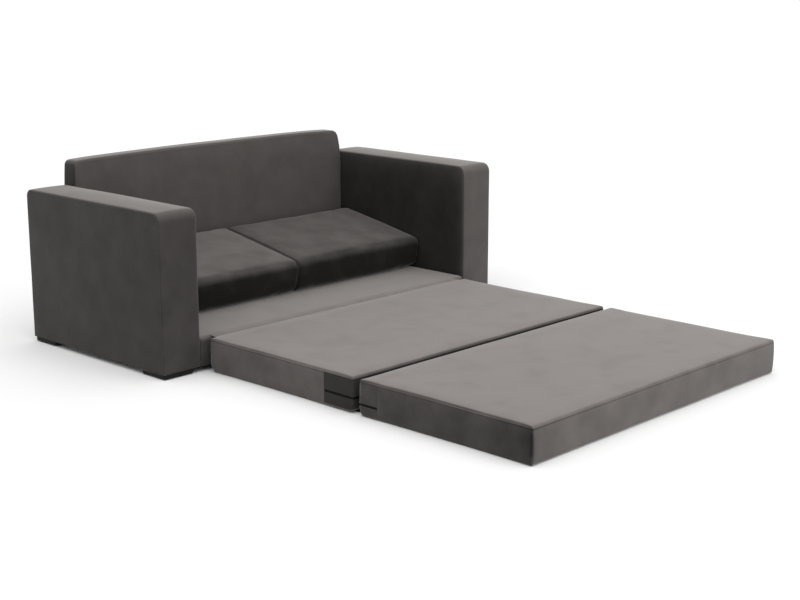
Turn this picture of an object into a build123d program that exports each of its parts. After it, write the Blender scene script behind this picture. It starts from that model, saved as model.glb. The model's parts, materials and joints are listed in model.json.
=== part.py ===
from build123d import *
from math import atan, cos, pi, radians, sin, tan
import os

# A sofa bed in velvet. Two box arms, a low backrest and a shallow base stay in place.
# Two padded blocks fold out of it over the floor, and two loose cushions lie on the base.
# Millimetres. X runs across the sofa, Y to the back, Z up. The origin is on the floor,
# under the middle of the bed when it is folded out.

os.makedirs("parts", exist_ok=True)

# Overall sizes of the sofa
sofa_width = 1800
sofa_depth = 840
arm_width = 172
arm_height = 610
back_height = 715
back_thickness = 88
base_height = 132
floor_gap = 20

# The two blocks that fold out
block_width = 1408
block_height = 132
front_block_length = 740
middle_gap = 19
front_gap = 22
fold_clearance = 1

# The loose cushions
cushion_depth = 490
cushion_height = 158
cushion_tilt = 10.5
cushion_side_gap = 3
cushion_back_gap = 1

# Upholstery: cover over padding over timber, and the play between the layers
cover_thickness = 3
padding_thickness = 15
layer_fit = 0.3
dust_cover_thickness = 0.8

# Timber
timber_thickness = 25
side_board_thickness = 15
hardboard_thickness = 4
deck_thickness = 12
base_foam_thickness = 50
arm_uprights = 5
back_uprights = 7

# Roundings of the upholstered pieces
arm_front_round = 38
arm_back_round = 30
arm_edge_round = 9
back_corner_round = 24
back_front_round = 18
back_rear_round = 12
base_front_round = 20
base_rear_round = 10
base_edge_round = 8

# Feet, glides and screws
foot_size = 138
foot_height = 16
foot_edge_inset = 3
foot_rear_inset = 10
foot_corner_round = 12
foot_bevel = 2
glide_radius = 10
glide_bevel = 1
glide_spacing = 98
foot_screw_radius = 2
foot_screw_head_radius = 4
foot_screw_head_height = 3
foot_screw_head_depth = 7
foot_screw_bite = 18
foot_screw_spacing = 44

# Bolts that hold the arms to the base and to the backrest
bolt_radius = 4
bolt_head_radius = 8
bolt_head_height = 5
bolt_end = 6
nut_radius = 5.5
nut_flange_radius = 10
nut_flange_thickness = 1.5
nut_length = 9
base_bolt_height = 46
base_bolt_front = 150
base_bolt_spacing = 450
back_bolt_height = 210
back_bolt_spacing = 280

# Zips of the block and cushion covers
zip_slot_height = 10
zip_slot_depth = 5.5
zip_tape_thickness = 1.2
zip_teeth_thickness = 1.1
zip_teeth_height = 4
zip_slider_length = 14
zip_slider_recess = 0.8
zip_tab_length = 22
zip_tab_height = 5
zip_tab_thickness = 1
zip_end_margin = 60
middle_zip_height = 54
middle_zip_reach = 146
front_zip_height = 41
front_zip_reach = 84
zip_panel_edge = 16
least_corner_share = 0.25
cushion_zip_margin = 90

# How the blocks and the cushions swell between their seams
block_crown = 2
block_edge_fall = 2
block_bulge = 4
block_draw_in = 3
block_edge_round = 11
block_foot_round = 36
block_top_round = 13
block_press = 0.3
cushion_crown = 10
cushion_belly = 8
cushion_edge_fall = 9
cushion_bulge = 4
cushion_draw_in = 6
cushion_edge_round = 9
cushion_front_foot_round = 55
cushion_back_foot_round = 35
cushion_back_top_round = 35
cushion_front_top_round = 40

# Sewn fabric hinges
flap_thickness = 1
flap_end_margin = 30

# Overrun of every cutting tool past the surface that it cuts
overrun = 2


class PadShape:
    """How a padded block swells: its crown, bulge, roundings and drawn-in sides.

    The press is how much of its foot the floor flattens.
    """

    def __init__(self, crown, belly, fall, bulge, draw_in, edge_round, rounds, press=0):
        self.crown = crown
        self.belly = belly
        self.fall = fall
        self.bulge = bulge
        self.draw_in = draw_in
        self.edge_round = edge_round
        self.front_low, self.back_low, self.back_high, self.front_high = rounds
        self.press = press


block_shape = PadShape(
    block_crown,
    0,
    block_edge_fall,
    block_bulge,
    block_draw_in,
    block_edge_round,
    (block_foot_round, block_foot_round, block_top_round, block_top_round),
    block_press,
)
cushion_shape = PadShape(
    cushion_crown,
    cushion_belly,
    cushion_edge_fall,
    cushion_bulge,
    cushion_draw_in,
    cushion_edge_round,
    (
        cushion_front_foot_round,
        cushion_back_foot_round,
        cushion_back_top_round,
        cushion_front_top_round,
    ),
)

# Places that follow from the sizes
seat_depth = sofa_depth - back_thickness
middle_block_length = seat_depth - fold_clearance
bed_length = (
    sofa_depth + middle_gap + middle_block_length + front_gap + front_block_length
)
back_y = bed_length / 2
front_y = back_y - sofa_depth
seat_back_y = front_y + seat_depth
middle_back_y = front_y - middle_gap
middle_front_y = middle_back_y - middle_block_length
front_back_y = middle_front_y - front_gap
front_front_y = front_back_y - front_block_length
upper_hinge_y = front_y - middle_gap / 2
lower_hinge_y = middle_front_y - fold_clearance / 2
half_width = sofa_width / 2
inner_half = half_width - arm_width
shell_inset = cover_thickness + layer_fit
carcass_inset = shell_inset + padding_thickness + layer_fit
carcass_floor = floor_gap + dust_cover_thickness
sides = {"left": -1, "right": 1}


def save(piece, name):
    """Write one piece under its own name."""
    piece.label = name
    export_step(piece, "parts/" + name + ".step")


def block_between(low, high):
    """A straight board, sheet or cutting block between two opposite corners."""
    with BuildPart() as block:
        with BuildSketch(Plane((low[0], low[1], low[2]))):
            Rectangle(high[0] - low[0], high[1] - low[1], align=(Align.MIN, Align.MIN))
        extrude(amount=high[2] - low[2])
    return block.part


def upholstered_form(plane, breadth, height, length, top_rounds, end_rounds, inset=0):
    """A padded box with a rounded top outline, run along the plane's normal.

    Its foot stays sharp and flat. An inset gives the same form inside a wall.
    """
    near_round, far_round = top_rounds
    start_round, finish_round = end_rounds
    with BuildPart() as form:
        with BuildSketch(plane.offset(inset)):
            with Locations((inset, 0)):
                Rectangle(
                    breadth - 2 * inset, height - inset, align=(Align.MIN, Align.MIN)
                )
            near_corner = vertices().group_by(Axis.Y)[-1].sort_by(Axis.X)[0]
            fillet(near_corner, radius=near_round - inset)
            far_corner = vertices().group_by(Axis.Y)[-1].sort_by(Axis.X)[-1]
            fillet(far_corner, radius=far_round - inset)
        extrude(amount=length - 2 * inset)
        along = Axis(plane.origin, plane.z_dir)
        start_edges = faces().sort_by(along)[0].edges().sort_by(Axis.Z)[1:]
        fillet(start_edges, radius=start_round - inset)
        finish_edges = faces().sort_by(along)[-1].edges().sort_by(Axis.Z)[1:]
        fillet(finish_edges, radius=finish_round - inset)
    return form.part


def pad_section(lay, across, depth, height, shape, inset=0, fall=0):
    """One crowned outline of a padded block, square to its width.

    Its sides are shallow arcs and its corners are rounded. The fall lowers it near a seam.
    """
    front = inset
    back = depth - inset
    middle = depth / 2
    top = height - inset - fall
    shoulder = top - shape.crown
    floor = inset - shape.press + fall * (shape.belly > 0)
    foot = floor + shape.belly
    centre = (foot + shoulder) / 2
    front_foot = (front + shape.bulge, foot)
    back_foot = (back - shape.bulge, foot)
    back_shoulder = (back - shape.bulge, shoulder)
    front_shoulder = (front + shape.bulge, shoulder)
    origin = lay.from_local_coords(Vector(across, 0, 0))
    with BuildSketch(Plane(origin=origin, x_dir=lay.y_dir, z_dir=lay.x_dir)) as section:
        with BuildLine():
            if shape.belly > 0:
                ThreePointArc(front_foot, (middle, floor), back_foot)
            else:
                Line(front_foot, back_foot)
            ThreePointArc(back_foot, (back, centre), back_shoulder)
            ThreePointArc(back_shoulder, (middle, top), front_shoulder)
            ThreePointArc(front_shoulder, (front, centre), front_foot)
        make_face()
        fillet(vertices().sort_by_distance(front_foot)[0], shape.front_low - inset)
        fillet(vertices().sort_by_distance(back_foot)[0], shape.back_low - inset)
        fillet(vertices().sort_by_distance(back_shoulder)[0], shape.back_high - inset)
        fillet(vertices().sort_by_distance(front_shoulder)[0], shape.front_high - inset)
    return section.sketch


def padded_form(lay, width, depth, height, shape, inset=0):
    """A crowned block with bulging ends and drawn-in sides, lofted across its width.

    The lay plane is at the middle of the block's front foot, with X across it.
    """
    half = width / 2 - inset
    stations = ((-half, shape.fall), (0, 0), (half, shape.fall))
    with BuildPart() as form:
        loft(
            [pad_section(lay, across, depth, height, shape, inset, fall) for across, fall in stations]
        )
        for side in sides.values():
            near_end = (side * half, -overrun)
            far_end = (side * half, depth + overrun)
            near_out = (side * (half + overrun), -overrun)
            far_out = (side * (half + overrun), depth + overrun)
            with BuildSketch(lay.offset(-overrun)):
                with BuildLine():
                    ThreePointArc(near_end, (side * (half - shape.draw_in), depth / 2), far_end)
                    Polyline(far_end, far_out, near_out, near_end)
                make_face()
            extrude(amount=height + 2 * overrun, mode=Mode.SUBTRACT)
        for end_face in (faces().sort_by(Axis.X)[0], faces().sort_by(Axis.X)[-1]):
            fillet(end_face.edges(), radius=shape.edge_round - inset)
        if shape.press > 0:
            split(bisect_by=lay.offset(inset), keep=Keep.TOP)
    return form.part


def rounded_board(low, high, radius):
    """A flat board or sheet whose four upright edges are eased."""
    with BuildPart() as board:
        with BuildSketch(Plane.XY.offset(low[2])):
            with Locations(((low[0] + high[0]) / 2, (low[1] + high[1]) / 2)):
                RectangleRounded(high[0] - low[0], high[1] - low[1], radius)
        extrude(amount=high[2] - low[2])
    return board.part


def hollow(outer, inner):
    """A cover or a sheet of padding: an outer form less the form inside it."""
    with BuildPart() as shell:
        add(outer)
        add(inner, mode=Mode.SUBTRACT)
    return shell.part


# Screws and bolts


def foot_places():
    """The corner of each foot with the lowest X and Y."""
    outer = half_width - foot_edge_inset
    rear = back_y - foot_rear_inset - foot_size
    places = {}
    for name, side in sides.items():
        low_x = min(side * outer, side * (outer - foot_size))
        places["front_" + name + "_foot"] = (low_x, front_y + foot_edge_inset)
        places["rear_" + name + "_foot"] = (low_x, rear)
    return places


def foot_middle(corner):
    """The point on the floor under the middle of a foot."""
    return (corner[0] + foot_size / 2, corner[1] + foot_size / 2)


foot_middles = [foot_middle(corner) for corner in foot_places().values()]
glide_height = floor_gap - foot_height


def foot_screw_set(radius, head_radius):
    """Every foot screw, or with larger radii every hole for one."""
    head_bottom = glide_height + foot_screw_head_depth - foot_screw_head_height
    head_top = glide_height + foot_screw_head_depth
    spread = 2 * (radius - foot_screw_radius)
    with BuildPart() as screws:
        with BuildSketch(Plane.XY.offset(head_bottom - spread)):
            for centre in foot_middles:
                with Locations(centre):
                    with GridLocations(foot_screw_spacing, 0, 2, 1):
                        Circle(head_radius)
        extrude(amount=foot_screw_head_height + spread)
        with BuildSketch(Plane.XY.offset(head_top)):
            for centre in foot_middles:
                with Locations(centre):
                    with GridLocations(foot_screw_spacing, 0, 2, 1):
                        Circle(radius)
        extrude(amount=carcass_floor + foot_screw_bite + spread - head_top)
    return screws.part


base_bolt_points = [
    (front_y + base_bolt_front + step * base_bolt_spacing, base_bolt_height)
    for step in range(2)
]
back_bolt_y = back_y - back_thickness / 2
back_bolt_points = [
    (back_bolt_y, back_bolt_height + step * back_bolt_spacing) for step in range(2)
]
base_half = inner_half - layer_fit
rail_outer = base_half - shell_inset
back_post_outer = base_half - carcass_inset
bolt_head_x = inner_half + carcass_inset + side_board_thickness


def bolt_set(points, post_outer, side, kind, play=0):
    """The bolts, T-nuts or holes at one side, run along X into a post or rail."""
    nut_face = post_outer - timber_thickness
    thread_start = nut_face - bolt_end
    with BuildPart() as pieces:
        if kind == "bolt":
            spans = (
                (thread_start, bolt_head_x, bolt_radius, 0),
                (bolt_head_x, bolt_head_x + bolt_head_height, bolt_head_radius, 0),
            )
        elif kind == "nut":
            spans = (
                (nut_face - nut_flange_thickness, nut_face, nut_flange_radius, bolt_radius),
                (nut_face, nut_face + nut_length, nut_radius, bolt_radius),
            )
        else:
            spans = ((thread_start - overrun, bolt_head_x + overrun, bolt_radius, 0),)
        for start, finish, radius, bore in spans:
            with BuildSketch(Plane.YZ.offset(side * start)):
                with Locations(*points):
                    Circle(radius + play)
                    if bore > 0:
                        Circle(bore + layer_fit, mode=Mode.SUBTRACT)
            extrude(amount=side * (finish - start))
    return pieces.part


def all_bolts(kind, play=0):
    """The bolts, nuts or holes of both arms."""
    with BuildPart() as pieces:
        for side in sides.values():
            add(bolt_set(base_bolt_points, rail_outer, side, kind, play))
            add(bolt_set(back_bolt_points, back_post_outer, side, kind, play))
    return pieces.part


def nut_holes(points, post_outer, side):
    """Holes in a post or rail that take the barrels of the T-nuts."""
    with BuildPart() as holes:
        with BuildSketch(Plane.YZ.offset(side * (post_outer + overrun))):
            with Locations(*points):
                Circle(nut_radius + layer_fit)
        extrude(amount=-side * (timber_thickness + 2 * overrun))
    return holes.part


bolt_holes = all_bolts("hole", layer_fit)
bolt_clearance = all_bolts("bolt", layer_fit)
foot_screw_holes = foot_screw_set(
    foot_screw_radius + layer_fit, foot_screw_head_radius + layer_fit
)


def bored(piece, *holes):
    """A piece with its screw or bolt holes."""
    with BuildPart() as result:
        add(piece)
        for hole in holes:
            add(hole, mode=Mode.SUBTRACT)
    return result.part


# Arms


def arm_form(side, inset=0):
    """The outer form of one arm, or of the space inside its cover or padding."""
    start = inner_half if side > 0 else -half_width
    plane = Plane(origin=(start, front_y, floor_gap), x_dir=(0, 1, 0), z_dir=(1, 0, 0))
    return upholstered_form(
        plane,
        sofa_depth,
        arm_height - floor_gap,
        arm_width,
        (arm_front_round, arm_back_round),
        (arm_edge_round, arm_edge_round),
        inset,
    )


def ladder(plane, breadth, height, depth, uprights):
    """A timber ladder frame: a rail below and above, and evenly spaced uprights."""
    bay = (breadth - uprights * timber_thickness) / (uprights - 1)
    bay_height = height - 2 * timber_thickness
    with BuildPart() as frame:
        with BuildSketch(plane):
            Rectangle(breadth, height, align=(Align.MIN, Align.MIN))
            with Locations((breadth / 2, height / 2)):
                with GridLocations(bay + timber_thickness, 0, uprights - 1, 1):
                    Rectangle(bay, bay_height, mode=Mode.SUBTRACT)
        extrude(amount=depth)
    return frame.part


def make_arm(name, side):
    """One arm: ladder frame, ply inner board, hardboard outer board, padding, cover."""
    low_y = front_y + carcass_inset
    high_y = back_y - carcass_inset
    top_z = arm_height - carcass_inset
    inner_x = inner_half + carcass_inset
    frame_x = inner_x + side_board_thickness
    outer_x = half_width - carcass_inset
    frame_end_x = outer_x - hardboard_thickness

    def slab(first_x, last_x, fit=0):
        low_x, high_x = sorted((side * first_x, side * last_x))
        low = (low_x - fit, low_y - fit, carcass_floor)
        return block_between(low, (high_x + fit, high_y + fit, top_z + fit))

    frame_plane = Plane(
        origin=(min(side * frame_x, side * frame_end_x), low_y, carcass_floor),
        x_dir=(0, 1, 0),
        z_dir=(1, 0, 0),
    )
    frame = ladder(
        frame_plane, high_y - low_y, top_z - carcass_floor, frame_end_x - frame_x, arm_uprights
    )
    dust_low_x, dust_high_x = sorted(
        (side * (inner_half + shell_inset), side * (half_width - shell_inset))
    )
    dust_cover = block_between(
        (dust_low_x, front_y + arm_front_round, floor_gap),
        (dust_high_x, back_y - arm_back_round, carcass_floor),
    )
    carcass = slab(inner_x, outer_x, layer_fit)
    foam_space = arm_form(side, shell_inset)
    padding = hollow(foam_space, carcass)
    with BuildPart() as trimmed_padding:
        add(padding)
        split(bisect_by=Plane.XY.offset(carcass_floor), keep=Keep.TOP)
    save(bored(frame, foot_screw_holes, bolt_clearance), name + "_arm_frame")
    save(bored(slab(inner_x, frame_x), bolt_holes), name + "_arm_inner_board")
    save(slab(frame_end_x, outer_x), name + "_arm_outer_board")
    save(bored(trimmed_padding.part, bolt_holes), name + "_arm_padding")
    save(bored(hollow(arm_form(side), foam_space), bolt_holes), name + "_arm_cover")
    save(bored(dust_cover, foot_screw_holes), name + "_arm_dust_cover")


# Backrest


def back_form(inset=0):
    """The outer form of the backrest, or of the space inside its cover or padding."""
    plane = Plane(
        origin=(base_half, seat_back_y, floor_gap), x_dir=(-1, 0, 0), z_dir=(0, 1, 0)
    )
    return upholstered_form(
        plane,
        2 * base_half,
        back_height - floor_gap,
        back_thickness,
        (back_corner_round, back_corner_round),
        (back_front_round, back_rear_round),
        inset,
    )


def make_backrest():
    """The backrest: ladder frame, hardboard front panel, padding, cover, dust cover."""
    half = back_post_outer
    low_y = seat_back_y + carcass_inset
    high_y = back_y - carcass_inset
    top_z = back_height - carcass_inset
    frame_plane = Plane(
        origin=(half, low_y + hardboard_thickness, carcass_floor),
        x_dir=(-1, 0, 0),
        z_dir=(0, 1, 0),
    )
    frame = ladder(
        frame_plane,
        2 * half,
        top_z - carcass_floor,
        high_y - low_y - hardboard_thickness,
        back_uprights,
    )
    for side in sides.values():
        frame = bored(frame, nut_holes(back_bolt_points, half, side))
    panel = block_between(
        (-half, low_y, carcass_floor), (half, low_y + hardboard_thickness, top_z)
    )
    carcass = block_between(
        (-half - layer_fit, low_y - layer_fit, carcass_floor),
        (half + layer_fit, high_y + layer_fit, top_z + layer_fit),
    )
    foam_space = back_form(shell_inset)
    with BuildPart() as padding:
        add(hollow(foam_space, carcass))
        split(bisect_by=Plane.XY.offset(carcass_floor), keep=Keep.TOP)
    dust_cover = block_between(
        (-half, seat_back_y + back_front_round, floor_gap),
        (half, back_y - back_rear_round, carcass_floor),
    )
    save(frame, "back_frame")
    save(panel, "back_panel")
    save(bored(padding.part, bolt_holes), "back_padding")
    save(bored(hollow(back_form(), foam_space), bolt_holes), "back_cover")
    save(dust_cover, "back_dust_cover")


# Base


def base_form(inset=0, foot_z=floor_gap):
    """The outer form of the base, or of the space inside its cover."""
    plane = Plane(
        origin=(-base_half, front_y, foot_z), x_dir=(0, 1, 0), z_dir=(1, 0, 0)
    )
    return upholstered_form(
        plane,
        seat_depth - layer_fit,
        base_height - foot_z,
        2 * base_half,
        (base_front_round, base_rear_round),
        (base_edge_round, base_edge_round),
        inset,
    )


def make_base():
    """The base: five rails, a ply deck, a foam slab, the cover and the dust cover."""
    low_y = front_y + shell_inset
    high_y = front_y + seat_depth - layer_fit - shell_inset
    foam_floor = base_height - shell_inset - base_foam_thickness
    deck_floor = foam_floor - deck_thickness
    half = rail_outer
    inner = half - timber_thickness
    centre_half = timber_thickness / 2
    eased = base_edge_round - cover_thickness
    with BuildPart() as front_rail:
        add(block_between((-half, low_y, carcass_floor), (half, low_y + timber_thickness, deck_floor)))
        fillet(edges().filter_by(Axis.Z).group_by(Axis.Y)[0], radius=eased)
    with BuildPart() as rear_rail:
        add(block_between((-half, high_y - timber_thickness, carcass_floor), (half, high_y, deck_floor)))
        fillet(edges().filter_by(Axis.Z).group_by(Axis.Y)[-1], radius=eased)
    centre_rail = block_between(
        (-centre_half, low_y + timber_thickness, carcass_floor),
        (centre_half, high_y - timber_thickness, deck_floor),
    )
    save(front_rail.part, "base_front_rail")
    save(rear_rail.part, "base_rear_rail")
    save(centre_rail, "base_centre_rail")
    for name, side in sides.items():
        low_x, high_x = sorted((side * inner, side * half))
        rail = block_between(
            (low_x, low_y + timber_thickness, carcass_floor),
            (high_x, high_y - timber_thickness, deck_floor),
        )
        save(bored(rail, nut_holes(base_bolt_points, half, side)), "base_" + name + "_rail")
    deck = rounded_board((-half, low_y, deck_floor), (half, high_y, foam_floor), eased)
    save(deck, "base_deck")
    save(base_form(shell_inset, foam_floor), "base_foam")
    cover = hollow(base_form(), base_form(shell_inset))
    save(bored(cover, bolt_holes), "base_cover")
    dust_cover = rounded_board((-half, low_y, floor_gap), (half, high_y, carcass_floor), eased)
    save(dust_cover, "base_dust_cover")


# Feet


def make_feet():
    """Four low block feet, each on four glides and held by two screws."""
    for name, corner in foot_places().items():
        with BuildPart() as foot:
            with BuildSketch(Plane.XY.offset(glide_height)):
                with Locations(foot_middle(corner)):
                    RectangleRounded(foot_size, foot_size, foot_corner_round)
            extrude(amount=foot_height)
            chamfer(faces().sort_by(Axis.Z)[0].edges(), length=foot_bevel)
            add(foot_screw_holes, mode=Mode.SUBTRACT)
            with BuildSketch(Plane.XY.offset(glide_height)):
                with Locations(foot_middle(corner)):
                    with GridLocations(foot_screw_spacing, 0, 2, 1):
                        Circle(foot_screw_head_radius + layer_fit)
            extrude(amount=foot_screw_head_depth - foot_screw_head_height, mode=Mode.SUBTRACT)
        save(foot.part, name)
    with BuildPart() as glides:
        with BuildSketch():
            for centre in foot_middles:
                with Locations(centre):
                    with GridLocations(glide_spacing, glide_spacing, 2, 2):
                        Circle(glide_radius)
        extrude(amount=glide_height)
        chamfer(faces().group_by(Axis.Z)[0].edges(), length=glide_bevel)
    save(glides.part, "foot_glides")
    save(foot_screw_set(foot_screw_radius, foot_screw_head_radius), "foot_screws")


# Zips


def zip_ring(lay, width, depth, reach, at_front, outer, inner, height, level):
    """A band round one end of a block, between two insets from its sides.

    It runs along the end and turns both corners by the reach.
    """
    corner = block_shape.edge_round
    least = corner * least_corner_share
    if at_front:
        keep_at = reach
        far_at = depth + overrun
    else:
        keep_at = depth - reach
        far_at = -overrun
    with BuildPart() as ring:
        with BuildSketch(lay.offset(level - height / 2)):
            with Locations((0, depth / 2)):
                RectangleRounded(
                    width - 2 * outer, depth - 2 * outer, max(corner - outer, least)
                )
                RectangleRounded(
                    width - 2 * inner,
                    depth - 2 * inner,
                    max(corner - inner, least),
                    mode=Mode.SUBTRACT,
                )
            with Locations((0, (keep_at + far_at) / 2)):
                Rectangle(width + 2 * overrun, abs(far_at - keep_at), mode=Mode.SUBTRACT)
        extrude(amount=height)
    return ring.part


def zip_slider(lay, level, start_x, face_at, outward):
    """A slider body over the teeth with a flat pull tab beside it, laid along X."""
    recess = zip_slot_depth - zip_tape_thickness - zip_teeth_thickness - layer_fit
    deep = face_at - outward * recess
    shallow = face_at - outward * zip_slider_recess
    tab_deep = shallow - outward * zip_tab_thickness
    body_height = zip_slot_height - 2 * zip_slider_recess
    body_low_y, body_high_y = sorted((deep, shallow))
    tab_low_y, tab_high_y = sorted((tab_deep, shallow))
    with BuildPart() as slider:
        with BuildSketch(lay.offset(level - body_height / 2)):
            with Locations((start_x + zip_slider_length / 2, (body_low_y + body_high_y) / 2)):
                Rectangle(zip_slider_length, body_high_y - body_low_y)
        extrude(amount=body_height)
        with BuildSketch(lay.offset(level - zip_tab_height / 2)):
            tab_x = start_x + zip_slider_length + zip_tab_length / 2
            with Locations((tab_x, (tab_low_y + tab_high_y) / 2)):
                Rectangle(zip_tab_length, tab_high_y - tab_low_y)
        extrude(amount=zip_tab_height)
    return slider.part


def zip_layers(lay, width, depth, reach, at_front, level):
    """The tape with its row of teeth, and the slot that they lie in."""
    tape_outer = zip_slot_depth - zip_tape_thickness
    teeth_outer = tape_outer - zip_teeth_thickness
    play = 2 * layer_fit
    sizes = (lay, width, depth, reach, at_front)
    slot = zip_ring(*sizes, -overrun, zip_slot_depth + layer_fit, zip_slot_height, level)
    short = (lay, width, depth, reach - layer_fit, at_front)
    tape = zip_ring(*short, tape_outer, zip_slot_depth, zip_slot_height - play, level)
    teeth = zip_ring(*short, teeth_outer, tape_outer, zip_teeth_height, level)
    with BuildPart() as closure:
        add(tape)
        add(teeth)
    return closure.part, slot


# Blocks


def make_block(name, lay, depth, at_front, level, reach):
    """One folding block: foam core, sewn cover, zip and zip slider."""
    sizes = (lay, block_width, depth, block_height, block_shape)
    closure, slot = zip_layers(lay, block_width, depth, reach, at_front, level)
    core = padded_form(*sizes, shell_inset)
    save(bored(core, slot), name + "_foam")
    shell = bored(hollow(padded_form(*sizes), padded_form(*sizes, cover_thickness)), slot)
    save(closure, name + "_zip")
    face_at = 0 if at_front else depth
    outward = -1 if at_front else 1
    slider = zip_slider(
        lay, level, -block_width / 2 + zip_end_margin, face_at, outward
    )
    save(slider, name + "_zip_slider")
    return shell


def make_middle_block():
    """The middle block, whose cover has a separate zip panel round its front end."""
    lay = Plane((0, middle_front_y, 0))
    shell = make_block(
        "middle_block", lay, middle_block_length, True, middle_zip_height, middle_zip_reach
    )
    seam_y = middle_front_y + middle_zip_reach
    reach_x = block_width / 2 + overrun
    panel_low = block_shape.front_low
    panel_space = block_between(
        (-reach_x, middle_front_y - overrun, zip_panel_edge),
        (reach_x, seam_y, block_height - zip_panel_edge),
    )
    panel_core = block_between(
        (-reach_x + panel_low, middle_front_y + panel_low, -overrun),
        (reach_x - panel_low, seam_y + overrun, block_height + overrun),
    )
    panel_ring = hollow(panel_space, panel_core)
    with BuildPart() as panel:
        add(shell)
        add(panel_ring, mode=Mode.INTERSECT)
    save(panel.part, "middle_block_zip_panel")
    save(bored(shell, panel_ring), "middle_block_cover")


def make_front_block():
    """The front block, which lies furthest out on the floor."""
    lay = Plane((0, front_front_y, 0))
    shell = make_block(
        "front_block", lay, front_block_length, False, front_zip_height, front_zip_reach
    )
    save(shell, "front_block_cover")


def rounding_reach(radius, drop):
    """How far past its tangent a round edge has fallen by the drop."""
    return (radius**2 - (radius - drop) ** 2) ** 0.5


def rounding_start(radius):
    """How far in from a block's bulging end its rounded edge begins."""
    lean = atan(4 * block_bulge / (block_height - block_crown))
    return block_bulge + radius * tan(pi / 4 - lean / 2)


def make_flap(name, seam_y, edge_y, seam_z, edge_z):
    """One half of a sewn fabric hinge, from the folding line to its sewn edge."""
    half = block_width / 2 - flap_end_margin
    with BuildPart() as flap:
        with BuildSketch(Plane.YZ.offset(-half)):
            with BuildLine():
                Polyline(
                    (seam_y, seam_z),
                    (edge_y, edge_z),
                    (edge_y, edge_z + flap_thickness),
                    (seam_y, seam_z + flap_thickness),
                    close=True,
                )
            make_face()
        extrude(amount=2 * half)
    save(flap.part, name)


def make_hinges():
    """The two sewn hinges, each as the two flaps that meet at its folding line."""
    seam = layer_fit / 2
    sink = flap_thickness + layer_fit
    upper_z = base_height - flap_thickness
    base_edge = front_y + base_front_round - rounding_reach(base_front_round, sink)
    make_flap("base_hinge_flap", upper_hinge_y + seam, base_edge, upper_z, upper_z)
    shoulder_z = block_height - block_crown - flap_thickness
    top_reach = rounding_start(block_top_round) - rounding_reach(block_top_round, sink)
    top_edge = middle_back_y - top_reach
    make_flap("middle_block_upper_flap", upper_hinge_y - seam, top_edge, upper_z, shoulder_z)
    pressed = rounding_reach(block_foot_round, sink + block_press)
    low_reach = rounding_start(block_foot_round) - pressed
    middle_edge = middle_front_y + low_reach
    make_flap("middle_block_lower_flap", lower_hinge_y + seam, middle_edge, 0, 0)
    front_edge = front_back_y - low_reach
    make_flap("front_block_flap", lower_hinge_y - seam, front_edge, 0, 0)


# Cushions


def cushion_lay(side):
    """The tilted plane at the middle of a cushion's front foot.

    The cushion's front foot rests on the base and its back foot leans on the backrest.
    """
    tilt = radians(cushion_tilt)
    up = (0, -sin(tilt), cos(tilt))
    tilted = Plane(origin=(0, 0, 0), x_dir=(1, 0, 0), z_dir=up)
    outline = pad_section(tilted, 0, cushion_depth, cushion_height, cushion_shape)
    reach = outline.bounding_box()
    origin_y = seat_back_y - cushion_back_gap - reach.max.Y
    origin_z = base_height + layer_fit - reach.min.Z
    gaps = (len(sides) + 1) * cushion_side_gap
    width = (2 * inner_half - gaps) / len(sides)
    origin_x = side * (width + cushion_side_gap) / 2
    return Plane(origin=(origin_x, origin_y, origin_z), x_dir=(1, 0, 0), z_dir=up), width


def make_cushion(name, side):
    """One loose cushion: foam core, cover, a zip in the back face and its slider."""
    lay, width = cushion_lay(side)
    sizes = (lay, width, cushion_depth, cushion_height, cushion_shape)
    level = cushion_height / 2
    slot_half = width / 2 - cushion_zip_margin
    floor_at = cushion_depth - zip_slot_depth

    def strip(half, deep, shallow, height):
        with BuildPart() as band:
            with BuildSketch(lay.offset(level - height / 2)):
                with Locations((0, (deep + shallow) / 2)):
                    Rectangle(2 * half, shallow - deep)
            extrude(amount=height)
        return band.part

    tape_top = floor_at + zip_tape_thickness
    teeth_top = tape_top + zip_teeth_thickness
    slot = strip(slot_half, floor_at - layer_fit, cushion_depth + overrun, zip_slot_height)
    tape_height = zip_slot_height - 2 * layer_fit
    with BuildPart() as closure:
        add(strip(slot_half - layer_fit, floor_at, tape_top, tape_height))
        add(strip(slot_half - layer_fit, tape_top, teeth_top, zip_teeth_height))
    slider = zip_slider(lay, level, -slot_half + zip_slider_length, cushion_depth, 1)
    shell = hollow(padded_form(*sizes), padded_form(*sizes, cover_thickness))
    save(bored(padded_form(*sizes, shell_inset), slot), name + "_cushion_foam")
    save(bored(shell, slot), name + "_cushion_cover")
    save(closure.part, name + "_cushion_zip")
    save(slider, name + "_cushion_zip_slider")


for side_name, side_sign in sides.items():
    make_arm(side_name, side_sign)
make_backrest()
make_base()
make_feet()
save(all_bolts("bolt"), "arm_bolts")
save(all_bolts("nut"), "arm_bolt_nuts")
make_middle_block()
make_front_block()
make_hinges()
for side_name, side_sign in sides.items():
    make_cushion(side_name, side_sign)
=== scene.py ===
# %% [markdown]
# A sofa bed in grey velvet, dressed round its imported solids.
# The frame gives every piece its place in metres: X across the sofa, Y to the back, Z up.
# The timber, ply, feet, glides and bolts are right as they are and only get a finish.
# All that is soft gets a new mesh here: the upholstery, the two blocks, the cushions,
# the zips, the sewn hinges and the dust covers.

# %% Load the frame
import json
import math

import bpy
import numpy as np
from mathutils import Matrix, Vector


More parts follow.
